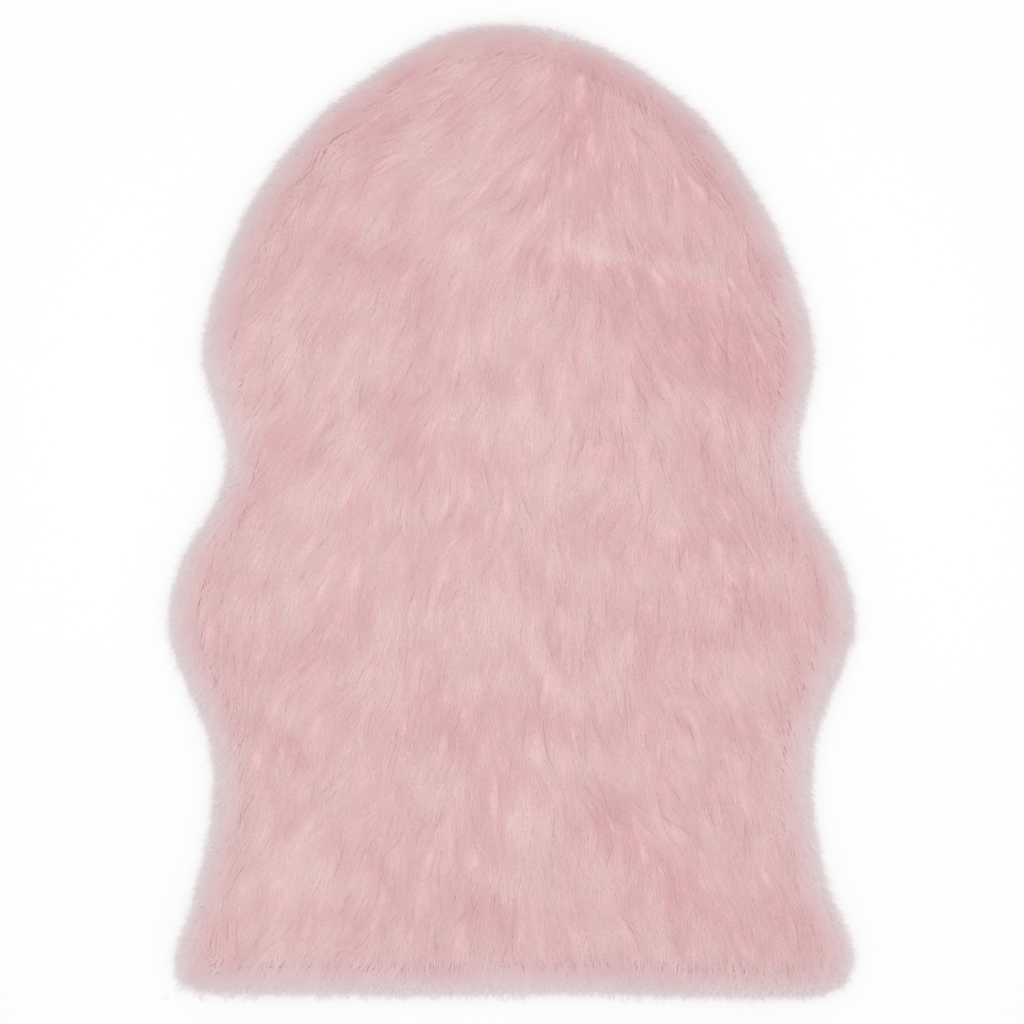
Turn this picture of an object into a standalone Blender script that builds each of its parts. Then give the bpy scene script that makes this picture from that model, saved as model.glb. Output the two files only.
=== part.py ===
"""A faux sheepskin rug: one cut panel of long-pile fabric, lying flat on the floor.

Metres, +Z up. The rug lies on z = 0 with its rounded head towards +Y and its straight foot towards -Y.
The origin is on the floor, under the middle of the rug. The solid reaches as far as the lying pile does.
"""

from collections import namedtuple
from math import pi

import bpy
import numpy as np

LENGTH = 0.910  # from the foot edge to the top of the head
PILE_HEIGHT = 0.029  # of the combed pile, away from the rim
RIM_HEIGHT = 0.006  # where the drooping pile reaches furthest out
RIM_ROUNDING = 0.075  # how far in from the rim the pile still falls away
UNDERCUT = 0.005  # how far the part that touches the floor lies inside the rim

SPINE_SHARE = 0.62  # length of the middle line that the rings close on, as a share of LENGTH
POINTS_ROUND = 132  # round the outline
RING_INSETS = (0.003, 0.008, 0.015, 0.025, 0.037)  # close rings on the rounded rim
RING_SPACING = 0.0135  # of the rings further in, at the widest place
CURVE_STEPS = 24  # of the outline's curve, between two of its points

PILE_COLOUR = (0.730, 0.485, 0.485, 1.0)
PILE_ROUGHNESS = 0.9

# The outline, a row for each section across the rug: how far the section is from the foot edge, and how
# far the pile reaches to the left and to the right of the middle line there.
Section = namedtuple("Section", "name along left right")
SECTIONS = (
    Section("foot corner, tip", 0.0190, 0.3155, 0.3185),
    Section("above the corner", 0.0525, 0.3080, 0.3155),
    Section("foot flare", 0.0945, 0.2950, 0.2965),
    Section("lower waist", 0.1745, 0.2785, 0.2810),
    Section("under the lobe", 0.2395, 0.2825, 0.2840),
    Section("lobe, lower side", 0.2945, 0.3050, 0.3040),
    Section("lobe", 0.3485, 0.3210, 0.3215),
    Section("lobe, upper side", 0.4095, 0.3075, 0.3070),
    Section("over the lobe", 0.4595, 0.2770, 0.2775),
    Section("upper waist", 0.5055, 0.2655, 0.2665),
    Section("under the shoulder", 0.5545, 0.2770, 0.2755),
    Section("shoulder", 0.6005, 0.2895, 0.2830),
    Section("over the shoulder", 0.6645, 0.2760, 0.2690),
    Section("side of the head", 0.7445, 0.2430, 0.2330),
    Section("rounding of the head", 0.8195, 0.1850, 0.1810),
    Section("brow", 0.8700, 0.1205, 0.1165),
    Section("crown", 0.9010, 0.0630, 0.0530),
)

HEAD_TOP = (-0.006, LENGTH / 2)

# The foot edge, from left to right: the place across the rug, and how far the pile stops short of the
# foot's straight line there.
EdgePoint = namedtuple("EdgePoint", "x short")
FOOT_EDGE = (
    EdgePoint(-0.285, 0.0050),
    EdgePoint(-0.180, 0.0030),
    EdgePoint(-0.075, 0.0010),
    EdgePoint(0.000, 0.0020),
    EdgePoint(0.080, 0.0035),
    EdgePoint(0.190, 0.0000),
    EdgePoint(0.290, 0.0020),
)

# Low ridges and creases of the lying pile: the middle of each one, which way it runs (degrees anticlockwise
# from +X), its length and width, and how far the pile rises there, or sinks where rise is below nothing.
Fold = namedtuple("Fold", "x y heading length width rise")
FOLDS = (
    Fold(0.128, 0.233, -9, 0.250, 0.032, 0.0030),
    Fold(0.080, 0.212, -18, 0.110, 0.028, -0.0045),
    Fold(-0.090, 0.208, 84, 0.120, 0.026, -0.0030),
    Fold(-0.022, 0.030, 80, 0.080, 0.036, 0.0028),
    Fold(0.080, 0.056, 4, 0.060, 0.028, 0.0030),
    Fold(0.140, -0.020, 5, 0.070, 0.028, 0.0028),
    Fold(0.205, 0.035, -52, 0.070, 0.024, -0.0030),
    Fold(0.030, -0.148, -52, 0.100, 0.028, 0.0036),
    Fold(0.010, -0.165, -56, 0.090, 0.028, -0.0034),
    Fold(0.020, -0.252, -22, 0.110, 0.032, -0.0036),
    Fold(0.112, -0.300, -46, 0.110, 0.026, -0.0040),
    Fold(0.134, -0.334, -36, 0.080, 0.024, 0.0028),
    Fold(0.156, -0.256, -55, 0.060, 0.024, -0.0030),
    Fold(-0.208, -0.216, -24, 0.080, 0.024, -0.0032),
    Fold(0.214, -0.056, 26, 0.070, 0.028, 0.0030),
    Fold(0.248, -0.088, 70, 0.090, 0.040, -0.0032),
    Fold(0.204, 0.156, -28, 0.090, 0.032, 0.0026),
    Fold(-0.002, -0.372, -55, 0.070, 0.028, 0.0026),
    Fold(-0.176, -0.108, 35, 0.060, 0.024, -0.0026),
)

# The wide, shallow unevenness of the pile: how often it repeats across and along the rug, how strong it
# is, and where along its wave it starts, in turns.
Swell = namedtuple("Swell", "across along height start")
SWELLS = (
    Swell(1.7, 2.6, 0.0009, 0.10),
    Swell(-2.9, 3.8, 0.0007, 0.45),
    Swell(4.3, -1.9, 0.0006, 0.80),
    Swell(3.1, 6.7, 0.0005, 0.25),
)


def clear_scene():
    for item in list(bpy.data.objects):
        bpy.data.objects.remove(item)


def control_points():
    """The outline's points, anticlockwise from the middle of the foot edge, as rows of x, y."""
    foot = [(p.x, p.short - LENGTH / 2) for p in FOOT_EDGE]
    foot_right = [point for point in foot if point[0] >= 0]
    foot_left = [point for point in foot if point[0] < 0]
    right = [(s.right, s.along - LENGTH / 2) for s in SECTIONS]
    left = [(-s.left, s.along - LENGTH / 2) for s in reversed(SECTIONS)]
    return np.array([*foot_right, *right, HEAD_TOP, *left, *foot_left])


def smooth_closed(points, steps):
    """A closed Catmull-Rom curve through the points, with this many steps between two of them."""
    before, after, beyond = (np.roll(points, turn, axis=0) for turn in (1, -1, -2))
    t = np.linspace(0, 1, steps, endpoint=False)[None, :, None]
    start, end = points[:, None], after[:, None]
    leaving = (after - before)[:, None] / 2
    arriving = (beyond - points)[:, None] / 2
    curve = (
        (2 * t**3 - 3 * t**2 + 1) * start
        + (t**3 - 2 * t**2 + t) * leaving
        + (3 * t**2 - 2 * t**3) * end
        + (t**3 - t**2) * arriving
    )
    return curve.reshape(-1, 2)


def evenly_spaced(curve, count):
    """The closed curve again, as this many points the same distance apart."""
    closed = np.vstack([curve, curve[:1]])
    travelled = np.concatenate([[0], np.cumsum(np.linalg.norm(np.diff(closed, axis=0), axis=1))])
    stops = np.linspace(0, travelled[-1], count, endpoint=False)
    return np.column_stack([np.interp(stops, travelled, closed[:, axis]) for axis in (0, 1)])


def centred(outline):
    """The outline moved so that the middle of its box is the origin."""
    return outline - (outline.min(axis=0) + outline.max(axis=0)) / 2


def spine_points():
    """For each point of the outline, the point of the middle line that the rings close on.

    The outline starts at the middle of the foot and runs up the right side and down the left, so a
    point and its partner on the other side share one spine point, and these are evenly spaced.
    """
    step = np.arange(POINTS_ROUND)
    share = np.minimum(step, POINTS_ROUND - step) / (POINTS_ROUND / 2)
    return np.column_stack([np.zeros(POINTS_ROUND), (share - 0.5) * SPINE_SHARE * LENGTH])


def distance_to_rim(points, outline):
    """How far each point lies from the nearest stretch of the outline."""
    start = outline[None]
    run = np.roll(outline, -1, axis=0)[None] - start
    share = ((points[:, None] - start) * run).sum(2) / (run**2).sum(2)
    nearest = start + share.clip(0, 1)[..., None] * run
    return np.linalg.norm(points[:, None] - nearest, axis=2).min(axis=1)


def folds_at(points):
    """The rise of all the folds together: each is a soft mound or trough, longer than it is wide."""
    rise = np.zeros(len(points))
    for fold in FOLDS:
        turn = np.radians(fold.heading)
        off = points - (fold.x, fold.y)
        along = off @ (np.cos(turn), np.sin(turn))
        across = off @ (-np.sin(turn), np.cos(turn))
        rise += fold.rise * np.exp(-((2 * along / fold.length) ** 2) - (2 * across / fold.width) ** 2)
    return rise


def swells_at(points):
    turns = [s.start + (points[:, 0] * s.across + points[:, 1] * s.along) / LENGTH for s in SWELLS]
    return sum(s.height * np.sin(2 * pi * turn) for s, turn in zip(SWELLS, turns, strict=True))


def pile_top(points, outline):
    """The height of the pile over each point: a round shoulder at the rim, then nearly level."""
    inwards = (distance_to_rim(points, outline) / RIM_ROUNDING).clip(0, 1)
    shoulder = np.sqrt(1 - (1 - inwards) ** 2)
    uneven = folds_at(points) + swells_at(points)
    return RIM_HEIGHT + (PILE_HEIGHT - RIM_HEIGHT + uneven) * shoulder


def ring_insets(reach):
    """How far in from the rim each ring lies at the widest place: close on the rim, then even."""
    inner = np.arange(RING_INSETS[-1] + RING_SPACING, reach - RING_SPACING / 2, RING_SPACING)
    return [0.0, *RING_INSETS, *inner]


def rug_mesh():
    outline = centred(evenly_spaced(smooth_closed(control_points(), CURVE_STEPS), POINTS_ROUND))
    spine = spine_points()
    inwards = spine - outline
    reach = np.linalg.norm(inwards, axis=1, keepdims=True)
    widest = np.abs(outline[:, 0]).max()

    rings = [outline + inwards / reach * UNDERCUT]
    rings += [outline + inwards * inset / widest for inset in ring_insets(widest)]
    heights = [np.zeros(POINTS_ROUND)] + [pile_top(ring, outline) for ring in rings[1:]]
    half = POINTS_ROUND // 2
    middle = spine[: half + 1]
    rings.append(middle)
    heights.append(pile_top(middle, outline))
    vertices = np.column_stack([np.vstack(rings), np.concatenate(heights)])

    loops = len(rings) - 1
    faces = [tuple(reversed(range(POINTS_ROUND)))]
    for ring in range(loops - 1):
        low = ring * POINTS_ROUND
        for i in range(POINTS_ROUND):
            j = (i + 1) % POINTS_ROUND
            faces.append((low + i, low + j, low + POINTS_ROUND + j, low + POINTS_ROUND + i))
    last = (loops - 1) * POINTS_ROUND
    first_spine = loops * POINTS_ROUND
    for i in range(POINTS_ROUND):
        j = (i + 1) % POINTS_ROUND
        inner = [first_spine + min(k, POINTS_ROUND - k) for k in (j, i)]
        faces.append((last + i, last + j, *dict.fromkeys(inner)))
    return vertices, faces


def pile_material():
    material = bpy.data.materials.new("pile")
    material.use_nodes = True
    surface = material.node_tree.nodes["Principled BSDF"]
    surface.inputs["Base Color"].default_value = PILE_COLOUR
    surface.inputs["Roughness"].default_value = PILE_ROUGHNESS
    surface.inputs["Metallic"].default_value = 0.0
    return material


def make_rug():
    vertices, faces = rug_mesh()
    mesh = bpy.data.meshes.new("rug")
    mesh.from_pydata(vertices.tolist(), [], faces)
    mesh.shade_smooth()
    mesh.materials.append(pile_material())
    rug = bpy.data.objects.new("rug", mesh)
    bpy.context.scene.collection.objects.link(rug)
    return rug


clear_scene()
make_rug()
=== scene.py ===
"""The looks of a faux sheepskin rug: long combed pile over a ground cloth, seen from above on a pale floor.

Metres, +Z up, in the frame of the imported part: the rounded head lies towards +Y, the straight foot towards
-Y, and the floor is z = 0. Every shape starts from the part's own solid, which reaches as far as the lying
pile does. The pile is grown strand by strand from locks that follow the way the rug was combed.
"""

from collections import namedtuple

import bpy
import numpy as np
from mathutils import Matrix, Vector
from mathutils.bvhtree import BVHTree
from mathutils.kdtree import KDTree


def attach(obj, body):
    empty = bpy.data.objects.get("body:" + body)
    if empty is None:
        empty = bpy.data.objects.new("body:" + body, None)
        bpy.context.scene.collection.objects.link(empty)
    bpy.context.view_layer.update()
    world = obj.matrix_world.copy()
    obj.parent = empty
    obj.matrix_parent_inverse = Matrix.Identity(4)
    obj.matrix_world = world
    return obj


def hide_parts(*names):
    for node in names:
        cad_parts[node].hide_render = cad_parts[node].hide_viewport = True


NODE = "rug"
BODY = "root"
MM = 0.001

# The ground cloth and the dense short fluff under the combed pile.
CLOTH_THICKNESS = 1.6 * MM
CLOTH_INSET = 24 * MM  # from where the pile half ends to the cut edge
FLUFF_INSET = 14 * MM
FLUFF_DEPTH = 2.4 * MM  # under the pile's top
FLUFF_DROP = 14 * MM  # how much deeper it lies at its edge
FLUFF_FALL = 24 * MM  # how far in from its edge it is deeper
FLUFF_RINGS = 60
FLUFF_SPAN = 0.985  # how far in the last ring lies, as a share of the way to the middle
FLUFF_GAP = 0.3 * MM  # between the cloth and the fluff

# The charts of height and slope over the rug.
CHART_STEP = 3 * MM
CHART_MARGIN = 30 * MM
UNDERCUT = 5 * MM  # the part's underside lies this far inside its outline
TOUCHING = 0.01 * MM  # what is lower than this is on the floor
RIM_HEIGHT = 6 * MM
FLOOR_CLEARANCE = 0.5 * MM
RAYS_FROM = 1.0  # height over the floor
DROOP = 0.45  # how steeply the pile past the rim comes down
LOWEST_FRINGE = 1.2 * MM
BLUR_STEPS = 2  # softening of the height chart
WAY_BLUR_STEPS = 8  # softening of the distances that give the way to the rim

# The soft noise, made of octaves of random waves.
NOISE_WAVES = 7  # in each octave
NOISE_STRENGTH = 0.38  # of one wave
NOISE_SPREAD = (0.75, 1.4)  # of the waves' lengths
OCTAVE_STEP = 2.1  # how many times shorter the next octave's waves are
OCTAVE_FADE = 0.6  # how strong the next octave is

# The combed pile.
SEED = 11
LOCK_SPACING = 6.7 * MM
LOCK_RADIUS = 4 * MM
TUFT_SPACING = 19 * MM  # of the wider tufts that neighbouring locks belong to
TUFT_SCATTER_DEGREES = 7
TUFT_RISE = 0.6 * MM
ROW_SHARE = 0.866  # between the rows of an even grid of triangles, as a share of its spacing
PLACE_SCATTER = 0.42  # of locks and tufts off that grid, as a share of its spacing
CLUMPING = (0.15, 0.6)  # how far a lock's tips draw together, where one is to a point
CLUMP_CURVE = 1.3  # above one, most of it happens near the tips
ROOTS_FROM_RIM = 1.5 * MM
STRANDS_PER_LOCK = 8
STRAND_LENGTH = 41 * MM
LOCK_LENGTH_SCATTER = 0.12
LOCK_LENGTHS = (0.7, 1.35)  # the shortest and longest, as shares of STRAND_LENGTH
OWN_LENGTHS = (0.72, 1.08)  # of strands, as shares of their lock's length
LOCK_BEND = 0.07  # to one side, as a share of the length
OWN_BEND = 0.05
STRAND_WIDTH = 0.44 * MM
STATIONS = np.array([0.0, 0.33, 0.67, 1.0])  # along a strand, from root to tip
WIDTHS = np.array([0.85, 1.0, 0.8, 0.0])  # at each station, as a share of the strand's width
OWN_WIDTHS = (0.65, 1.25)  # of strands, as shares of STRAND_WIDTH
ROOT_DEPTH = 1.9 * MM  # under the pile's top
RISING_CURVE = 1.6  # above one, a strand comes up from its root quickly, then lies level
TIP_DEPTH = 0.9 * MM
TIP_SCATTER = 0.5 * MM
STRAY_SHARE = 0.03  # of the strands, that stick out over the pile
STRAY_RISE = 3.5 * MM
SHADOW_STROKE_SHARE = 0.0065  # of the strands that are not cut short at the rim: these are a darker mauve, painted shade standing in for the shadowed gaps between locks
SHADOW_STROKE_TONE = 1.3  # how much more of them there are where the pile is rosier
SHADOW_STROKE_LIMITS = (0.2, 3)  # of the share where it is palest and rosiest
SHADOW_STROKE_WIDTH = 1.3  # as a share of another strand's
REACH = -14 * MM  # where the tips stop, counted outwards from the rim
REACH_SCATTER = 7 * MM
ROLL = 0.25  # radians, of the ribbons about their own length
ROUNDING = 0.06  # how far the shading turns over the sides of a strand
LEAN = 0.08  # how far it turns over the sides of a lock
TWIST = 0.04  # how much it differs from strand to strand
PILE_PIECES = ("pile_foot", "pile_waist", "pile_lobes", "pile_shoulders", "pile_head")

# The fine hairs that blur the rug's edge.
FRINGE_STRANDS = 100000
FRINGE_STATIONS = np.array([0.0, 1.0])
FRINGE_ROOTS = (1 * MM, 28 * MM)  # inside the rim
FRINGE_WIDTH = 0.30 * MM
FRINGE_LENGTH = 18 * MM
FRINGE_REACH = -6 * MM
FRINGE_SCATTER = 9 * MM
FURTHEST = 13.5 * MM  # past the rim, that any tip reaches
FRINGE_LENGTHS = (0.6, 1.3)  # as shares of FRINGE_LENGTH
FRINGE_WIDTHS = (0.6, 1.4)  # as shares of FRINGE_WIDTH
FRINGE_TURNS = (0.2, 1.0)  # how strongly the hairs turn straight out from the rim
FRINGE_DISORDER = 0.25  # of the ways that they point
FRINGE_DEPTH = 3 * MM  # how much deeper than the pile the deepest hairs lie
SHORTEST = 0.1  # of its length, for a strand that is cut short

# How the pile was combed: for sections across the rug, how far the strands lean from straight towards the
# foot, in degrees, to the right above nothing and to the left below it.
COMB_COLUMNS = (-0.24, -0.16, -0.08, 0.0, 0.08, 0.16, 0.24)
Comb = namedtuple("Comb", "y leans")
COMBING = (
    Comb(0.43, (-60, -60, -60, -58, 5, 35, 40)),
    Comb(0.36, (-45, -50, -55, -50, 0, 34, 36)),
    Comb(0.30, (-25, -34, -46, -38, -2, 23, 28)),
    Comb(0.24, (-18, -25, -31, -27, 6, 21, 26)),
    Comb(0.16, (-31, -29, -19, -12, 8, 24, 30)),
    Comb(0.08, (-30, -33, -13, -11, 0, 16, 24)),
    Comb(0.00, (-29, -34, -9, -6, -5, 5, 18)),
    Comb(-0.08, (-15, -15, -7, -2, -5, 3, 12)),
    Comb(-0.16, (-24, -25, -13, 0, 3, 10, 19)),
    Comb(-0.24, (-21, -22, -17, -3, 11, 26, 20)),
    Comb(-0.32, (-26, -19, -11, 0, 10, 26, 16)),
    Comb(-0.42, (-30, -27, -5, 5, 4, 6, 12)),
)
SWIRL_DEGREES = 9  # how far the combing wanders
SWIRL_SIZE = 0.11
LOCK_SCATTER_DEGREES = 8
RIM_PULL = 0.75  # how strongly pile that was combed inwards turns out again at the rim
RIM_PULL_REACH = 20 * MM

# Where the pile is rosier or paler: partly its own uneven tone, and partly painted shade in hollows and
# painted light where the lie of the pile catches the light.
# The middle of each soft patch, which way it runs (degrees anticlockwise from +X), its length and width, and
# its tone, below nothing for rosier and above for paler. The rows go from the head to the foot.
Patch = namedtuple("Patch", "x y heading length width tone")
PATCHES = (
    Patch(0.066, 0.385, 84, 0.100, 0.020, -0.6),
    Patch(0.050, 0.360, 80, 0.150, 0.080, -0.7),
    Patch(-0.085, 0.350, 50, 0.060, 0.040, 0.6),
    Patch(0.075, 0.345, -60, 0.100, 0.050, -0.5),
    Patch(-0.060, 0.340, -70, 0.080, 0.045, -0.5),
    Patch(-0.137, 0.332, 60, 0.110, 0.070, -0.5),
    Patch(0.160, 0.325, -50, 0.180, 0.110, -0.6),
    Patch(-0.140, 0.300, 0, 0.110, 0.045, 0.4),
    Patch(-0.043, 0.294, 80, 0.110, 0.070, 0.7),
    Patch(0.055, 0.242, -12, 0.090, 0.018, 1.4),
    Patch(-0.103, 0.240, 88, 0.120, 0.030, -0.7),
    Patch(-0.175, 0.228, 20, 0.150, 0.070, -0.4),
    Patch(0.150, 0.225, -8, 0.140, 0.014, 1.0),
    Patch(0.012, 0.175, 0, 0.080, 0.050, 0.6),
    Patch(0.160, 0.172, -29, 0.260, 0.070, -1.1),
    Patch(0.225, 0.150, -60, 0.120, 0.090, -0.5),
    Patch(-0.205, 0.145, 45, 0.170, 0.100, 0.6),
    Patch(0.160, 0.130, -15, 0.090, 0.030, -0.4),
    Patch(-0.135, 0.125, 20, 0.080, 0.035, 0.7),
    Patch(-0.207, 0.070, 45, 0.070, 0.030, -0.5),
    Patch(-0.100, 0.070, -65, 0.130, 0.045, -0.9),
    Patch(0.022, 0.047, 88, 0.160, 0.110, 0.5),
    Patch(-0.125, 0.030, 50, 0.110, 0.080, 0.6),
    Patch(0.143, -0.014, 0, 0.060, 0.020, 0.7),
    Patch(0.206, -0.018, -75, 0.140, 0.060, -0.7),
    Patch(-0.216, -0.046, 45, 0.110, 0.080, 0.7),
    Patch(-0.085, -0.065, -45, 0.060, 0.040, -0.6),
    Patch(0.228, -0.070, 30, 0.050, 0.030, 0.9),
    Patch(0.278, -0.093, 80, 0.070, 0.035, -0.5),
    Patch(-0.035, -0.110, -60, 0.150, 0.080, 0.5),
    Patch(0.210, -0.110, 0, 0.120, 0.060, -0.5),
    Patch(-0.174, -0.121, -50, 0.060, 0.030, -0.6),
    Patch(-0.114, -0.140, 70, 0.090, 0.050, 0.4),
    Patch(0.024, -0.142, -60, 0.090, 0.020, 0.9),
    Patch(0.237, -0.144, -60, 0.060, 0.050, 0.5),
    Patch(-0.048, -0.182, -20, 0.090, 0.035, -0.6),
    Patch(0.148, -0.206, -5, 0.070, 0.030, -0.5),
    Patch(-0.205, -0.220, -36, 0.070, 0.020, -0.7),
    Patch(-0.020, -0.226, -34, 0.110, 0.035, -0.8),
    Patch(-0.090, -0.247, -20, 0.080, 0.050, 0.6),
    Patch(0.000, -0.265, 0, 0.060, 0.030, 0.5),
    Patch(0.017, -0.290, 88, 0.070, 0.050, 0.8),
    Patch(0.105, -0.292, -45, 0.110, 0.036, -1.1),
    Patch(-0.216, -0.327, 80, 0.190, 0.090, 0.6),
    Patch(0.190, -0.362, -34, 0.150, 0.044, -0.4),
    Patch(-0.080, -0.365, -40, 0.140, 0.070, -0.2),
    Patch(0.078, -0.378, -70, 0.080, 0.050, 0.6),
)

# Creases, where the strands from above stop at a line: along the line a pale painted highlight, and under it
# a rosier painted shade for the hollow.
# The middle of each one, which way it runs (degrees anticlockwise from +X), its length, and its strength,
# from none to one.
Crease = namedtuple("Crease", "x y heading length strength")
CREASES = (
    Crease(0.070, 0.234, -3, 0.110, 0.8),
    Crease(0.137, 0.223, -17, 0.070, 0.8),
    Crease(0.190, 0.214, 4, 0.085, 0.8),
    Crease(0.204, 0.155, -27, 0.065, 0.6),
    Crease(0.215, 0.128, -18, 0.090, 0.6),
    Crease(-0.025, 0.050, 0, 0.036, 0.6),
    Crease(-0.016, 0.028, 2, 0.034, 0.5),
    Crease(-0.025, -0.004, -4, 0.032, 0.5),
    Crease(0.080, 0.057, 4, 0.055, 0.8),
    Crease(0.133, -0.020, 5, 0.060, 0.7),
    Crease(0.214, -0.056, 27, 0.050, 0.8),
    Crease(0.030, -0.147, -55, 0.090, 0.8),
    Crease(-0.048, -0.180, -30, 0.080, 0.7),
    Crease(0.022, -0.253, -16, 0.095, 0.6),
    Crease(0.120, -0.315, -42, 0.100, 0.9),
    Crease(0.215, -0.383, -33, 0.100, 0.7),
    Crease(-0.209, -0.216, -25, 0.060, 0.8),
)
CREASE_SHARE = 0.55  # of the strands, that stop at the strongest crease
CREASE_SCATTER = 2.0 * MM
CREASE_RISE = 0.3 * MM
CREASE_HIGHLIGHT_WIDTH = 4 * MM  # width of the painted highlight along the line
CREASE_SHADE_OFFSET = 9 * MM  # how far under the line the painted shade of the hollow is deepest, and half its width
CREASE_LIGHT_AND_SHADE = (0.6, -1.0)  # tones of the painted highlight on the line and of the painted shade in the hollow

TONE_UNEVENNESS = 0.25
UNEVENNESS_SIZE = 0.07
TONE_STRENGTH = 0.9
TUFT_TONE = 0.22  # how much tufts, locks and strands differ in tone
LOCK_TONE = 0.20
STRAND_TONE = 0.06

# The map that the strands share: tints lie side by side across it, the dark mauve of the painted gap shade
# first and then from rose to peach, and up it all of them turn to the painted grey of the shaded floor
# between the rim hairs. Each strand covers a small patch of it.
MAP_NAME = "OFBake"
MAP_SPREAD = 0.0025
MAP_RISE = 4 * MAP_SPREAD
MAP_MARGIN = 0.03
SHADOW_STROKE_TINT = 0.03
MIDDLE_TINT = 0.56
HALF_TINTS = 0.40
# The painted grey at the rim, standing in for the shaded floor seen between the thin hairs there:
GREY_FULL = 6 * MM  # from the rim
GREY_FADE = 34 * MM
GREY_CURVE = 1.7  # above one, the grey keeps nearer to the rim
HEAD_NARROWING = 0.4  # of the grey band, round the head

# Colours, linear.
# The first tint, a dark mauve, is painted shade for the gaps between locks; the others run from rose to
# peach.
TINTS = (
    (0.05, (0.66, 0.44, 0.50, 1.0)),
    (0.16, (0.838, 0.612, 0.626, 1.0)),
    (0.56, (0.857, 0.682, 0.687, 1.0)),
    (0.96, (0.877, 0.750, 0.729, 1.0)),
)
# the painted grey of the shaded floor between the rim hairs
RIM_SHADE_GREY = (0.920, 0.852, 0.866, 1.0)
LIGHT_THROUGH = 0.55  # share of a strand's light that goes on through it
FLUFF_COLOURS = ((0.52, 0.35, 0.37, 1.0), (0.66, 0.47, 0.49, 1.0))
CLOTH_COLOURS = ((0.50, 0.40, 0.40, 1.0), (0.66, 0.55, 0.55, 1.0))
FLOOR_COLOUR = (0.68, 0.68, 0.68, 1.0)

# The grain of the fluff and the knit of the ground cloth.
FLUFF_GRAIN = (1600, 260, 900)  # lumps for each metre across, along and up
FLUFF_BUMP = 0.6 * MM
KNIT_GAUGE = 1.8 * MM  # from one wale or course to the next
KNIT_BUMP = 0.3 * MM
WAVE_UNIT = np.pi / 10  # between two bands of Blender's wave texture at scale 1

# The floor, the light and the camera.
FLOOR_SIZE = 12
LIGHT_PLACE = (0.0, 0.05, 2.6)
LIGHT_SIZE = 1.6
LIGHT_POWER = 36
CAMERA_PLACE = (0, -0.0014, 2.27)
CAMERA_LENS = 85  # millimetres, for a sensor 36 wide


class Chart:
    """Values known on an even grid over the rug, and read between its points."""

    def __init__(self, values, corner, step):
        self.values = values
        self.corner = corner
        self.step = step

    def at(self, points):
        columns, rows = self.values.shape[:2]
        across = ((points[..., 0] - self.corner[0]) / self.step).clip(0, columns - 1.001)
        along = ((points[..., 1] - self.corner[1]) / self.step).clip(0, rows - 1.001)
        i = across.astype(int)
        j = along.astype(int)
        fi = across - i
        fj = along - j
        if self.values.ndim == 3:
            fi = fi[..., None]
            fj = fj[..., None]
        near = self.values[i, j] * (1 - fi) + self.values[i + 1, j] * fi
        far = self.values[i, j + 1] * (1 - fi) + self.values[i + 1, j + 1] * fi
        return near * (1 - fj) + far * fj


def unit(vectors):
    return vectors / np.maximum(np.linalg.norm(vectors, axis=-1, keepdims=True), 1e-12)


def smooth_noise(rng, points, wavelength, octaves=1):
    """A soft random wave over the rug, about -1 to 1, with lumps about half a wavelength across."""
    total = np.zeros(points.shape[:-1])
    strength = 1.0
    for _ in range(octaves):
        for _ in range(NOISE_WAVES):
            turn = rng.uniform(0, 2 * np.pi)
            start = rng.uniform(0, 2 * np.pi)
            reach = wavelength * rng.uniform(*NOISE_SPREAD)
            phase = (points[..., 0] * np.cos(turn) + points[..., 1] * np.sin(turn)) / reach
            total += strength * NOISE_STRENGTH * np.sin(2 * np.pi * phase + start)
        wavelength /= OCTAVE_STEP
        strength *= OCTAVE_FADE
    return total


# The part's solid, read as an outline and as charts.


def underside_outline(node):
    """The closed outline of the part's flat underside, moved out to the furthest reach of the pile."""
    mesh = node.data
    places = [tuple(round(c, 6) for c in v.co) for v in mesh.vertices]
    after = {}
    for polygon in mesh.polygons:
        corners = [places[v] for v in polygon.vertices]
        if max(abs(c[2]) for c in corners) > TOUCHING:
            continue
        for start, end in zip(corners, corners[1:] + corners[:1], strict=True):
            if start in after.setdefault(end, set()):
                after[end].discard(start)
            else:
                after.setdefault(start, set()).add(end)
    after = {start: ends for start, ends in after.items() if ends}
    first = next(iter(after))
    loop = [first]
    while True:
        following = next(iter(after[loop[-1]]))
        if following == first:
            break
        loop.append(following)
    points = np.array(loop)[:, :2][::-1]
    run = np.roll(points, -1, axis=0) - np.roll(points, 1, axis=0)
    outward = unit(np.column_stack([run[:, 1], -run[:, 0]]))
    return points + outward * UNDERCUT


def distance_inside(points, outline):
    """How far each point lies inside the outline, or outside it as a number below nothing."""
    start = outline
    run = np.roll(outline, -1, axis=0) - start
    nearest = np.full(len(points), np.inf)
    crossings = np.zeros(len(points), int)
    for (ax, ay), (rx, ry) in zip(start, run, strict=True):
        ox = points[:, 0] - ax
        oy = points[:, 1] - ay
        share = ((ox * rx + oy * ry) / (rx * rx + ry * ry)).clip(0, 1)
        nearest = np.minimum(nearest, np.hypot(ox - share * rx, oy - share * ry))
        if ry != 0:
            height = oy / ry
            crossings += (height >= 0) & (height < 1) & (ox < height * rx)
    return np.where(crossings % 2 == 1, nearest, -nearest)


def blurred(values, steps):
    """The values softened, each step with its neighbours on the grid."""
    for _ in range(steps):
        for axis in (0, 1):
            before = np.roll(values, 1, axis)
            after = np.roll(values, -1, axis)
            values = (before + 2 * values + after) / 4
    return values


Charts = namedtuple("Charts", "inside outward top slope tone combing")


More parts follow.
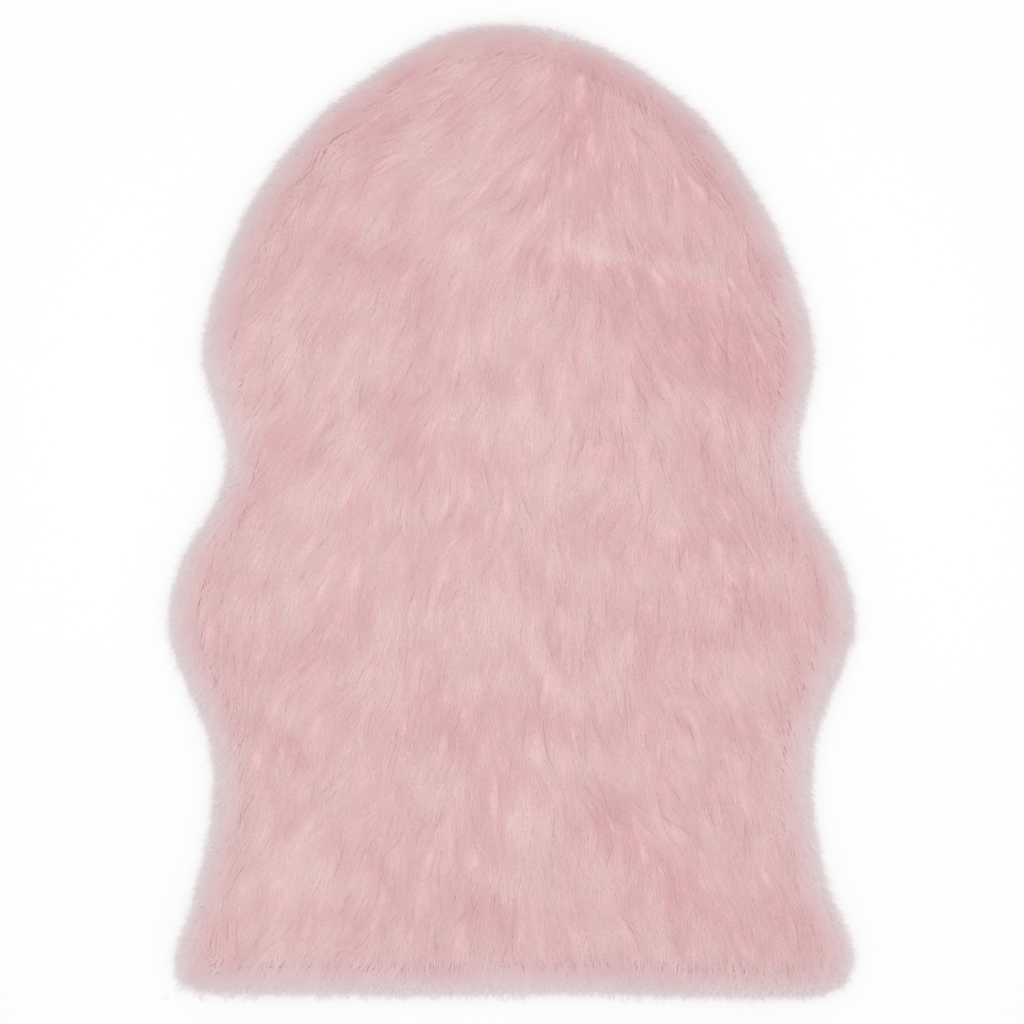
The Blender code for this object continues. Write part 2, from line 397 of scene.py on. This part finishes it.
def chart_rug(node, outline):
    """Charts of the way to the rim, of the pile's height, slope and tone, and of how it was combed."""
    low = outline.min(axis=0) - CHART_MARGIN
    high = outline.max(axis=0) + CHART_MARGIN
    counts = np.ceil((high - low) / CHART_STEP).astype(int) + 1
    across, along = (low[axis] + np.arange(counts[axis]) * CHART_STEP for axis in (0, 1))
    grid = np.stack(np.meshgrid(across, along, indexing="ij"), -1)
    flat = grid.reshape(-1, 2)
    inside = distance_inside(flat, outline)
    tree = BVHTree.FromPolygons([v.co for v in node.data.vertices], [p.vertices for p in node.data.polygons])
    top = np.zeros(len(flat))
    for i, (x, y) in enumerate(flat):
        if inside[i] > 0:
            hit = tree.ray_cast(Vector((x, y, RAYS_FROM)), Vector((0, 0, -1)))[0]
            top[i] = hit.z if hit else RIM_HEIGHT
        else:
            top[i] = max(RIM_HEIGHT + DROOP * inside[i], LOWEST_FRINGE)
    inside = inside.reshape(counts)
    outward = -unit(np.stack(np.gradient(blurred(inside, WAY_BLUR_STEPS), CHART_STEP), -1))
    top = blurred(top.reshape(counts), BLUR_STEPS)
    slope = np.stack(np.gradient(top, CHART_STEP), -1)
    on_grid = [Chart(values, low, CHART_STEP) for values in (inside, outward, top, slope, tone_at(grid))]
    return Charts(*on_grid, comb_chart())


# The pile.


def comb_chart():
    """The combing table as a chart of leans, on its own coarse grid made even."""
    step = COMB_COLUMNS[1] - COMB_COLUMNS[0]
    low = np.array([COMB_COLUMNS[0], COMBING[-1].y])
    rows = int(np.ceil((COMBING[0].y - low[1]) / step)) + 1
    ys = [c.y for c in reversed(COMBING)]
    leans = np.array([c.leans for c in reversed(COMBING)], float)
    even = low[1] + np.arange(rows) * step
    values = np.stack([np.interp(even, ys, leans[:, i]) for i in range(len(COMB_COLUMNS))])
    return Chart(values, low, step)


def direction_at(points, charts):
    """The way the pile lies at each point, as a unit vector over the floor: as combed, but out at the rim."""
    lean = charts.combing.at(points)
    lean = lean + SWIRL_DEGREES * smooth_noise(np.random.default_rng(SEED), points, SWIRL_SIZE, octaves=2)
    turn = np.radians(lean)
    combed = np.stack([np.sin(turn), -np.cos(turn)], -1)
    outward = charts.outward.at(points)
    against = 1 - (combed * outward).sum(-1)
    pull = RIM_PULL * against * (1 - charts.inside.at(points) / RIM_PULL_REACH).clip(0, 1)
    return unit(combed + outward * pull[..., None])


def scattered(rng, outline, inside, spacing, least):
    """Points spread evenly but not in rows, at least this far inside the rim."""
    low = outline.min(axis=0)
    high = outline.max(axis=0)
    columns = np.arange(low[0], high[0], spacing)
    rows = np.arange(low[1], high[1], spacing * ROW_SHARE)
    x, y = np.meshgrid(columns, rows)
    x = x + (np.arange(len(rows)) % 2)[:, None] * spacing / 2
    points = np.stack([x, y], -1).reshape(-1, 2)
    points += rng.uniform(-PLACE_SCATTER, PLACE_SCATTER, points.shape) * spacing
    return points[inside.at(points) > least]


# Many strands, with what they need to become ribbons: the stations along them, their paths over the floor
# (by strand, station and axis), their widths and tints (by strand and station), and for each strand where
# across its lock it lies, from -1 to 1, and how deep its tip is.
Strands = namedtuple("Strands", "stations paths widths tint across tip_depth")


def walk(roots, lengths, way_at, stations):
    """Paths over the floor from the roots, following the pile's direction from station to station."""
    paths = [roots]
    for step in np.diff(stations):
        here = paths[-1]
        half = here + way_at(here) * (lengths * step / 2)[:, None]
        paths.append(here + way_at(half) * (lengths * step)[:, None])
    return np.stack(paths, 1)


def trimmed(paths, over, stations):
    """The paths shortened so that each tip ends where its path would first go over its own limit."""
    share = np.ones(len(paths))
    for k in range(1, len(stations)):
        part = (-over[:, k - 1] / np.maximum(over[:, k] - over[:, k - 1], 1e-9)).clip(0, 1)
        crossing = stations[k - 1] + part * (stations[k] - stations[k - 1])
        share = np.where((over[:, k] > 0) & (share == 1), crossing, share)
    wanted = stations[None] * share.clip(SHORTEST, 1)[:, None]
    after = np.searchsorted(stations, wanted, side="right").clip(1, len(stations) - 1)
    part = (wanted - stations[after - 1]) / (stations[after] - stations[after - 1])
    rows = np.arange(len(paths))[:, None]
    return paths[rows, after - 1] * (1 - part[..., None]) + paths[rows, after] * part[..., None]


def local(points, mark):
    """Where the points lie by a patch or crease: along it, from -1 to 1 over its length, and across it."""
    turn = np.radians(mark.heading)
    off = points - (mark.x, mark.y)
    along = 2 * (off @ (np.cos(turn), np.sin(turn))) / mark.length
    return along, off @ (-np.sin(turn), np.cos(turn))


def over_creases(rng, paths):
    """How far the paths go past the creases that stop them: most at a crease's middle, fewer at its ends."""
    over = np.full(paths.shape[:2], -1.0)
    scatter = rng.normal(0, CREASE_SCATTER, len(paths))
    chance = rng.uniform(0, 1, len(paths))
    rows = np.arange(len(paths))
    for crease in CREASES:
        along, above = local(paths, crease)
        crossing = along[rows, np.abs(above).argmin(axis=1)]
        past = scatter[:, None] - above
        stopped = (past[:, 0] < 0) & (chance < CREASE_SHARE * crease.strength * np.exp(-(crossing**4)))
        over = np.where(stopped[:, None], np.maximum(over, past), over)
    return over


# The locks of the pile: their places, the guide paths of their strands, how far their tips draw together,
# how far they bend to one side, their tone, and how far they rise over their neighbours.
Locks = namedtuple("Locks", "places guides clump bend tone rise")


def grow_locks(rng, outline, charts):
    """Locks all over the rug, alike within each wider tuft."""
    places = scattered(rng, outline, charts.inside, LOCK_SPACING, ROOTS_FROM_RIM)
    tufts = scattered(rng, outline, charts.inside, TUFT_SPACING, -TUFT_SPACING)
    tuft = nearest(places, tufts)
    tuft_scatter = rng.normal(0, TUFT_SCATTER_DEGREES, len(tufts))
    tuft_tone = rng.normal(0, TUFT_TONE, len(tufts))
    tuft_rise = rng.normal(0, TUFT_RISE, len(tufts))
    scatter = np.radians(rng.normal(0, LOCK_SCATTER_DEGREES, len(places)) + tuft_scatter[tuft])
    cos = np.cos(scatter)
    sin = np.sin(scatter)

    def way_at(points):
        x, y = direction_at(points, charts).T
        return np.column_stack([x * cos - y * sin, x * sin + y * cos])

    length = (1 + LOCK_LENGTH_SCATTER * rng.standard_normal(len(places))).clip(*LOCK_LENGTHS)
    guides = walk(places, STRAND_LENGTH * length, way_at, STATIONS)
    clump = rng.uniform(*CLUMPING, len(places))
    bend = rng.normal(0, LOCK_BEND, len(places))
    tone = rng.normal(0, LOCK_TONE, len(places)) + tuft_tone[tuft]
    return Locks(places, guides, clump, bend, tone, tuft_rise[tuft])


def strand_paths(rng, locks, lock):
    """The path of each strand from the number of its lock, and where across the lock it lies."""
    count = len(lock)
    angle = rng.uniform(0, 2 * np.pi, count)
    radius = LOCK_RADIUS * np.sqrt(rng.uniform(0, 1, count))
    offset = np.column_stack([np.cos(angle), np.sin(angle)]) * radius[:, None]
    way = unit(locks.guides[:, -1] - locks.guides[:, 0])
    side = np.column_stack([-way[:, 1], way[:, 0]])[lock]
    s = STATIONS[None, :, None]
    own_length = rng.uniform(*OWN_LENGTHS, count)[:, None, None]
    start = locks.places[lock][:, None]
    drift = (locks.bend[lock] + rng.normal(0, OWN_BEND, count)) * STRAND_LENGTH
    paths = start + (locks.guides[lock] - start) * own_length
    paths = paths + offset[:, None] * (1 - locks.clump[lock][:, None, None] * s**CLUMP_CURVE)
    paths = paths + side[:, None] * (drift[:, None, None] * s**2)
    return paths, (offset * side).sum(-1) / LOCK_RADIUS


def grow_pile(rng, outline, charts):
    """The combed pile: strands in locks, that end at the rim, and many of them at a crease."""
    locks = grow_locks(rng, outline, charts)
    lock = np.repeat(np.arange(len(locks.places)), STRANDS_PER_LOCK)
    count = len(lock)
    paths, across = strand_paths(rng, locks, lock)
    past_crease = over_creases(rng, paths)
    past_rim = -charts.inside.at(paths) - rng.normal(REACH, REACH_SCATTER, (count, 1))
    paths = trimmed(paths, np.maximum(past_crease, past_rim), STATIONS)

    own_tone = locks.tone[lock] + rng.normal(0, STRAND_TONE, count)
    tone = charts.tone.at(paths) + own_tone[:, None]
    tint = tint_of(tone)
    # A few strands in dark mauve: painted shade for the shadowed gaps between locks, more of them where the
    # pile is rosier.
    shadow_stroke_share = SHADOW_STROKE_SHARE * (1 - SHADOW_STROKE_TONE * tone[:, 1]).clip(*SHADOW_STROKE_LIMITS)
    shadow_strokes = rng.uniform(0, 1, count) < shadow_stroke_share
    shadow_strokes &= past_rim.max(axis=1) < 0
    tint[shadow_strokes] = SHADOW_STROKE_TINT
    widths = STRAND_WIDTH * rng.uniform(*OWN_WIDTHS, (count, 1)) * WIDTHS
    widths[shadow_strokes] *= SHADOW_STROKE_WIDTH
    depth = tip_depths(rng, count) - locks.rise[lock]
    depth[past_crease.max(axis=1) > 0] -= CREASE_RISE
    depth[shadow_strokes] = 0
    return Strands(STATIONS, paths, widths, tint, across, depth)


def grow_fringe(rng, outline, charts):
    """Fine hairs along the rim, whose tips thin out over the floor."""
    count = FRINGE_STRANDS
    closed = np.vstack([outline, outline[:1]])
    travelled = np.concatenate([[0], np.cumsum(np.linalg.norm(np.diff(closed, axis=0), axis=1))])
    stops = rng.uniform(0, travelled[-1], count)
    rim = np.column_stack([np.interp(stops, travelled, closed[:, axis]) for axis in (0, 1)])
    outward = charts.outward.at(rim)
    roots = rim - outward * rng.uniform(*FRINGE_ROOTS, (count, 1))
    turned = direction_at(roots, charts) + outward * rng.uniform(*FRINGE_TURNS, (count, 1))
    way = unit(turned + rng.normal(0, FRINGE_DISORDER, (count, 2)))
    lengths = FRINGE_LENGTH * rng.uniform(*FRINGE_LENGTHS, (count, 1, 1))
    paths = roots[:, None] + way[:, None] * lengths * FRINGE_STATIONS[None, :, None]
    reach = rng.normal(FRINGE_REACH, FRINGE_SCATTER, (count, 1)).clip(None, FURTHEST)
    paths = trimmed(paths, -charts.inside.at(paths) - reach, FRINGE_STATIONS)
    paths = paths[charts.inside.at(paths[:, -1]) > -FURTHEST]
    count = len(paths)
    tint = tint_of(charts.tone.at(paths) + rng.normal(0, STRAND_TONE, (count, 1)))
    widths = FRINGE_WIDTH * rng.uniform(*FRINGE_WIDTHS, (count, 1)) * (1 - FRINGE_STATIONS)
    depth = tip_depths(rng, count) + rng.uniform(0, FRINGE_DEPTH, count)
    return Strands(FRINGE_STATIONS, paths, widths, tint, np.zeros(count), depth)


def nearest(points, centres):
    """The number of the nearest centre to each point."""
    tree = KDTree(len(centres))
    for number, (x, y) in enumerate(centres):
        tree.insert((x, y, 0), number)
    tree.balance()
    return np.array([tree.find((x, y, 0))[1] for x, y in points])


def tip_depths(rng, count):
    """How deep each strand's tip lies under the pile's top: a few stick out over it."""
    depths = rng.normal(TIP_DEPTH, TIP_SCATTER, count)
    stray = rng.uniform(0, 1, count) < STRAY_SHARE
    return np.where(stray, -STRAY_RISE * rng.uniform(0, 1, count), depths)


def tone_at(points):
    """The tone of the pile, below nothing where it is rosier and above where it is paler, with painted light
    and shade at the creases.
    """
    rng = np.random.default_rng(SEED + 1)
    tone = TONE_UNEVENNESS * smooth_noise(rng, points, UNEVENNESS_SIZE, octaves=2)
    for patch in PATCHES:
        along, across = local(points, patch)
        tone = tone + patch.tone * np.exp(-(along**2) - (2 * across / patch.width) ** 2)
    # Painted light and shade at each crease: a pale highlight along its line, a rosier shade in the hollow
    # under it.
    for crease in CREASES:
        along, above = local(points, crease)
        crease_highlight = np.exp(-((2 * above / CREASE_HIGHLIGHT_WIDTH - 1) ** 2))
        crease_shade = np.exp(-((above / CREASE_SHADE_OFFSET + 1) ** 2))
        crease_light_and_shade = CREASE_LIGHT_AND_SHADE[0] * crease_highlight + CREASE_LIGHT_AND_SHADE[1] * crease_shade
        tone = tone + crease.strength * np.exp(-(along**4)) * crease_light_and_shade
    return TONE_STRENGTH * tone


def tint_of(tone):
    """Where across the map a strand of this tone lies."""
    return MIDDLE_TINT + (HALF_TINTS * tone).clip(-HALF_TINTS, HALF_TINTS)


def painted_rim_shade(points, charts):
    """How far the pile takes the painted grey of the shaded floor between the rim hairs, from none to one:
    most at the rim, and over a narrower band round the head.
    """
    headwards = charts.outward.at(points)[..., 1].clip(0, 1)
    full = GREY_FULL * (1 - headwards)
    fade = GREY_FADE * (1 - HEAD_NARROWING * headwards)
    return ((full + fade - charts.inside.at(points)) / fade).clip(0, 1) ** GREY_CURVE


def surface_normals(points, slope):
    tilt = slope.at(points)
    return unit(np.concatenate([-tilt, np.ones((*tilt.shape[:-1], 1))], -1))


def ribbons(rng, strands, charts):
    """The strands as thin ribbons: their vertices, normals and map places, strand by strand."""
    paths = strands.paths
    count, stations = paths.shape[:2]
    ease = (1 - strands.stations[None]) ** RISING_CURVE
    depth = ROOT_DEPTH * ease + strands.tip_depth[:, None] * (1 - ease)
    height = np.maximum(charts.top.at(paths) - depth, FLOOR_CLEARANCE)
    centre = np.concatenate([paths, height[..., None]], -1)
    along = unit(np.gradient(centre, axis=1))
    normal = surface_normals(paths, charts.slope)
    side = unit(np.cross(along, normal))
    face = np.cross(side, along)
    roll = rng.normal(0, ROLL, (count, 1, 1))
    half = (side * np.cos(roll) + face * np.sin(roll)) * (strands.widths[..., None] / 2)
    lean = LEAN * strands.across[:, None, None] + TWIST * rng.standard_normal((count, 1, 1))
    soft_left = unit(normal + side * (-lean - ROUNDING))
    soft_right = unit(normal + side * (-lean + ROUNDING))
    soft_tip = unit(normal - side * lean)[:, -1:]

    last = stations - 1
    pairs = np.stack([(centre - half)[:, :last], (centre + half)[:, :last]], 2).reshape(count, -1, 3)
    soft_pairs = np.stack([soft_left[:, :last], soft_right[:, :last]], 2).reshape(count, -1, 3)
    vertices = np.concatenate([pairs, centre[:, last:]], 1)
    normals = np.concatenate([soft_pairs, soft_tip], 1)
    across = np.concatenate([np.tile([-MAP_SPREAD, MAP_SPREAD], last), [0.0]])
    along_map = MAP_RISE * np.concatenate([np.repeat(strands.stations[:last], 2), [1.0]])
    rim_shade = MAP_MARGIN + (1 - 2 * MAP_MARGIN) * painted_rim_shade(paths, charts)
    u, v = (
        np.concatenate([np.repeat(values[:, :last], 2, axis=1), values[:, last:]], 1) + shift
        for values, shift in ((strands.tint, across), (rim_shade, along_map))
    )
    return vertices, normals, np.stack([u, v], -1)


def ribbon_faces(count, stations):
    """Corner numbers and face sizes for this many ribbons: a square for each stretch, and a pointed tip."""
    last = stations - 1
    corners = []
    for k in range(last - 1):
        corners += [2 * k, 2 * k + 1, 2 * k + 3, 2 * k + 2]
    corners += [2 * last - 2, 2 * last - 1, 2 * last]
    sizes = [4] * (last - 1) + [3]
    starts = np.arange(count)[:, None] * (2 * last + 1)
    return (starts + np.array(corners)).ravel(), np.tile(sizes, count)


def mesh_object(name, vertices, corners, sizes, normals=None, places=None):
    """A mesh object from arrays, with its own normals and map places if they are given."""
    mesh = bpy.data.meshes.new(name)
    mesh.vertices.add(len(vertices))
    mesh.vertices.foreach_set("co", vertices.astype(np.float32).ravel())
    mesh.loops.add(len(corners))
    mesh.loops.foreach_set("vertex_index", corners.astype(np.int32))
    mesh.polygons.add(len(sizes))
    starts = np.concatenate([[0], np.cumsum(sizes)[:-1]])
    mesh.polygons.foreach_set("loop_start", starts.astype(np.int32))
    mesh.polygons.foreach_set("use_smooth", np.ones(len(sizes), bool))
    mesh.update(calc_edges=True)
    if places is not None:
        layer = mesh.uv_layers.new(name=MAP_NAME)
        layer.uv.foreach_set("vector", places[corners].astype(np.float32).ravel())
    if normals is not None:
        mesh.normals_split_custom_set_from_vertices(normals.astype(np.float32))
    piece = bpy.data.objects.new(name, mesh)
    bpy.context.scene.collection.objects.link(piece)
    return piece


def make_pile(outline, charts):
    """The pile's strands, shared out over a few pieces from the foot to the head, and the fringe."""
    rng = np.random.default_rng(SEED)
    material = pile_material()
    combed = ribbons(rng, grow_pile(rng, outline, charts), charts)
    fringe = ribbons(rng, grow_fringe(rng, outline, charts), charts)
    order = np.argsort(combed[0][:, 0, 1], kind="stable")
    shares = [tuple(part[chosen] for part in combed) for chosen in np.array_split(order, len(PILE_PIECES))]
    pieces = []
    for name, (vertices, normals, places) in zip([*PILE_PIECES, "fringe"], [*shares, fringe], strict=True):
        corners, sizes = ribbon_faces(len(vertices), (vertices.shape[1] + 1) // 2)
        in_rows = (vertices.reshape(-1, 3), corners, sizes, normals.reshape(-1, 3), places.reshape(-1, 2))
        piece = mesh_object(name, *in_rows)
        piece.data.materials.append(material)
        pieces.append(piece)
        print(name, len(vertices), "strands", int((sizes - 2).sum()), "triangles")
    return pieces


# The cloth and the fluff under the pile.


def inset_loop(outline, inset):
    run = np.roll(outline, -1, axis=0) - np.roll(outline, 1, axis=0)
    inward = unit(np.column_stack([-run[:, 1], run[:, 0]]))
    return outline + inward * inset


def slab(name, rings, heights):
    """A closed body between its first ring, which is its flat underside, and rings that close on a line."""
    count = len(rings[0])
    vertices = np.concatenate([np.column_stack([r, h]) for r, h in zip(rings, heights, strict=True)])
    faces = [list(range(count))[::-1]]
    for k in range(len(rings) - 1):
        for i in range(count):
            j = (i + 1) % count
            faces.append([k * count + i, k * count + j, (k + 1) * count + j, (k + 1) * count + i])
    faces.append([(len(rings) - 1) * count + i for i in range(count)])
    corners = np.concatenate(faces)
    sizes = np.array([len(f) for f in faces])
    return mesh_object(name, vertices, corners, sizes)


def make_fluff(outline, charts):
    """The dense short fluff that the strands come out of, a low body under the pile's top."""
    edge = inset_loop(outline, FLUFF_INSET)
    between = (edge + np.roll(edge, -1, axis=0)) / 2
    edge = np.stack([edge, between], 1).reshape(-1, 2)
    rings = [edge] + [edge * (1 - share) for share in np.linspace(0, FLUFF_SPAN, FLUFF_RINGS)]
    heights = [np.full(len(edge), CLOTH_THICKNESS + FLUFF_GAP)]
    for ring in rings[1:]:
        outwards = (1 - (charts.inside.at(ring) - FLUFF_INSET) / FLUFF_FALL).clip(0, 1)
        height = charts.top.at(ring) - FLUFF_DEPTH - FLUFF_DROP * outwards**2
        heights.append(np.maximum(height, CLOTH_THICKNESS + 2 * FLUFF_GAP))
    piece = slab("fluff", rings, heights)
    piece.data.materials.append(fluff_material())
    return piece


def make_cloth(outline):
    edge = inset_loop(outline, CLOTH_INSET)
    heights = [np.zeros(len(edge)), np.full(len(edge), CLOTH_THICKNESS)]
    piece = slab("ground_cloth", [edge, edge], heights)
    piece.data.materials.append(cloth_material())
    return piece


# Materials.


def new_material(name):
    material = bpy.data.materials.new(name)
    material.use_nodes = True
    return material, material.node_tree.nodes, material.node_tree.links


def map_colour(nodes, links):
    """The colour at a strand's place on the map: a tint by how far across, greyer by how far up, which is the
    painted shade of the floor at the rim.
    """
    place = nodes.new("ShaderNodeUVMap")
    place.uv_map = MAP_NAME
    parts = nodes.new("ShaderNodeSeparateXYZ")
    links.new(place.outputs["UV"], parts.inputs[0])
    tint = nodes.new("ShaderNodeValToRGB")
    stops = tint.color_ramp.elements
    while len(stops) < len(TINTS):
        stops.new(1.0)
    for stop, (position, colour) in zip(stops, TINTS, strict=True):
        stop.position = position
        stop.color = colour
    links.new(parts.outputs["X"], tint.inputs[0])
    greying = nodes.new("ShaderNodeMapRange")
    greying.inputs["From Min"].default_value = MAP_MARGIN
    greying.inputs["From Max"].default_value = 1 - MAP_MARGIN
    links.new(parts.outputs["Y"], greying.inputs["Value"])
    shown = nodes.new("ShaderNodeMix")
    shown.data_type = "RGBA"
    shown.inputs["B"].default_value = RIM_SHADE_GREY
    links.new(tint.outputs["Color"], shown.inputs["A"])
    links.new(greying.outputs["Result"], shown.inputs["Factor"])
    return shown.outputs["Result"]


def pile_material():
    """Fibres in the colours of the map, that let part of the light through."""
    material, nodes, links = new_material("pile")
    colour = map_colour(nodes, links)
    surface = nodes["Principled BSDF"]
    links.new(colour, surface.inputs["Base Color"])
    surface.inputs["Roughness"].default_value = 0.6
    surface.inputs["Specular IOR Level"].default_value = 0.3
    through = nodes.new("ShaderNodeBsdfTranslucent")
    links.new(colour, through.inputs["Color"])
    both = nodes.new("ShaderNodeMixShader")
    both.inputs[0].default_value = LIGHT_THROUGH
    links.new(surface.outputs[0], both.inputs[1])
    links.new(through.outputs[0], both.inputs[2])
    links.new(both.outputs[0], nodes["Material Output"].inputs["Surface"])
    return material


def placed(nodes, links, scale):
    """Places on the object itself, in metres times this scale for each axis."""
    place = nodes.new("ShaderNodeTexCoord")
    scaled = nodes.new("ShaderNodeMapping")
    scaled.inputs["Scale"].default_value = scale
    links.new(place.outputs["Object"], scaled.inputs["Vector"])
    return scaled.outputs["Vector"]


def two_coloured(nodes, links, share, colours, depth):
    """The surface goes from one colour to the other with the share, and rises by the depth with it."""
    surface = nodes["Principled BSDF"]
    shown = nodes.new("ShaderNodeMix")
    shown.data_type = "RGBA"
    shown.inputs["A"].default_value, shown.inputs["B"].default_value = colours
    links.new(share, shown.inputs["Factor"])
    links.new(shown.outputs["Result"], surface.inputs["Base Color"])
    bump = nodes.new("ShaderNodeBump")
    bump.inputs["Distance"].default_value = depth
    links.new(share, bump.inputs["Height"])
    links.new(bump.outputs["Normal"], surface.inputs["Normal"])


def fluff_material():
    """Short dense fibres: a noise drawn out along the rug, the way the fluff is brushed."""
    material, nodes, links = new_material("fluff")
    grain = nodes.new("ShaderNodeTexNoise")
    grain.inputs["Scale"].default_value = 1.0
    grain.inputs["Detail"].default_value = 4.0
    links.new(placed(nodes, links, FLUFF_GRAIN), grain.inputs["Vector"])
    two_coloured(nodes, links, grain.outputs["Fac"], FLUFF_COLOURS, FLUFF_BUMP)
    nodes["Principled BSDF"].inputs["Roughness"].default_value = 0.95
    return material


def cloth_material():
    """A plain knit: wales along the rug, crossed by the courses."""
    material, nodes, links = new_material("ground_cloth")
    waves = []
    for direction in ("X", "Y"):
        wave = nodes.new("ShaderNodeTexWave")
        wave.bands_direction = direction
        wave.inputs["Scale"].default_value = WAVE_UNIT / KNIT_GAUGE
        wave.inputs["Distortion"].default_value = 0.6
        links.new(placed(nodes, links, (1, 1, 1)), wave.inputs["Vector"])
        waves.append(wave.outputs["Fac"])
    knit = nodes.new("ShaderNodeMath")
    knit.operation = "MULTIPLY"
    links.new(waves[0], knit.inputs[0])
    links.new(waves[1], knit.inputs[1])
    two_coloured(nodes, links, knit.outputs[0], CLOTH_COLOURS, KNIT_BUMP)
    nodes["Principled BSDF"].inputs["Roughness"].default_value = 0.9
    return material


# The floor, the light and the camera.


def make_floor():
    bpy.ops.mesh.primitive_plane_add(size=FLOOR_SIZE)
    floor = bpy.context.object
    floor.name = "floor"
    material, nodes, links = new_material("floor")
    surface = nodes["Principled BSDF"]
    surface.inputs["Base Color"].default_value = FLOOR_COLOUR
    surface.inputs["Roughness"].default_value = 0.8
    surface.inputs["Specular IOR Level"].default_value = 0.2
    floor.data.materials.append(material)


def add_soft_light():
    """A wide round light over the rug, that shines at the middle of it."""
    light = bpy.data.lights.new("key", "AREA")
    light.shape = "DISK"
    light.size = LIGHT_SIZE
    light.energy = LIGHT_POWER
    lamp = bpy.data.objects.new("key", light)
    bpy.context.scene.collection.objects.link(lamp)
    lamp.location = LIGHT_PLACE
    towards_rug = Vector((0, 0, 0)) - Vector(LIGHT_PLACE)
    lamp.rotation_euler = towards_rug.to_track_quat("-Z", "Y").to_euler()


def light_scene():
    world = bpy.data.worlds.new("studio")
    world.use_nodes = True
    background = world.node_tree.nodes["Background"]
    background.inputs["Color"].default_value = (1, 1, 1, 1)
    background.inputs["Strength"].default_value = 1.0
    bpy.context.scene.world = world
    add_soft_light()
    bpy.context.scene.view_settings.view_transform = "Standard"


def place_camera():
    view = bpy.data.cameras.new("camera")
    view.lens = CAMERA_LENS
    view.sensor_width = 36
    camera = bpy.data.objects.new("camera", view)
    bpy.context.scene.collection.objects.link(camera)
    camera.location = CAMERA_PLACE
    bpy.context.scene.camera = camera


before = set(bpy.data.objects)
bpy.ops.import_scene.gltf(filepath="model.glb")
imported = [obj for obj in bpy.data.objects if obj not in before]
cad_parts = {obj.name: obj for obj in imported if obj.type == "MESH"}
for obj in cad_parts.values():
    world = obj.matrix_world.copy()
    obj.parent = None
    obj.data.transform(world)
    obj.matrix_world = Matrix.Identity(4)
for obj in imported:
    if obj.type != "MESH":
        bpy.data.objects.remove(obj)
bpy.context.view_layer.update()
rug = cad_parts[NODE]
outline = underside_outline(rug)
charts = chart_rug(rug, outline)

cloth = make_cloth(outline)
fluff = make_fluff(outline, charts)
pile = make_pile(outline, charts)

for piece in [cloth, fluff, *pile]:
    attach(piece, BODY)
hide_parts(NODE)

make_floor()
light_scene()
place_camera()
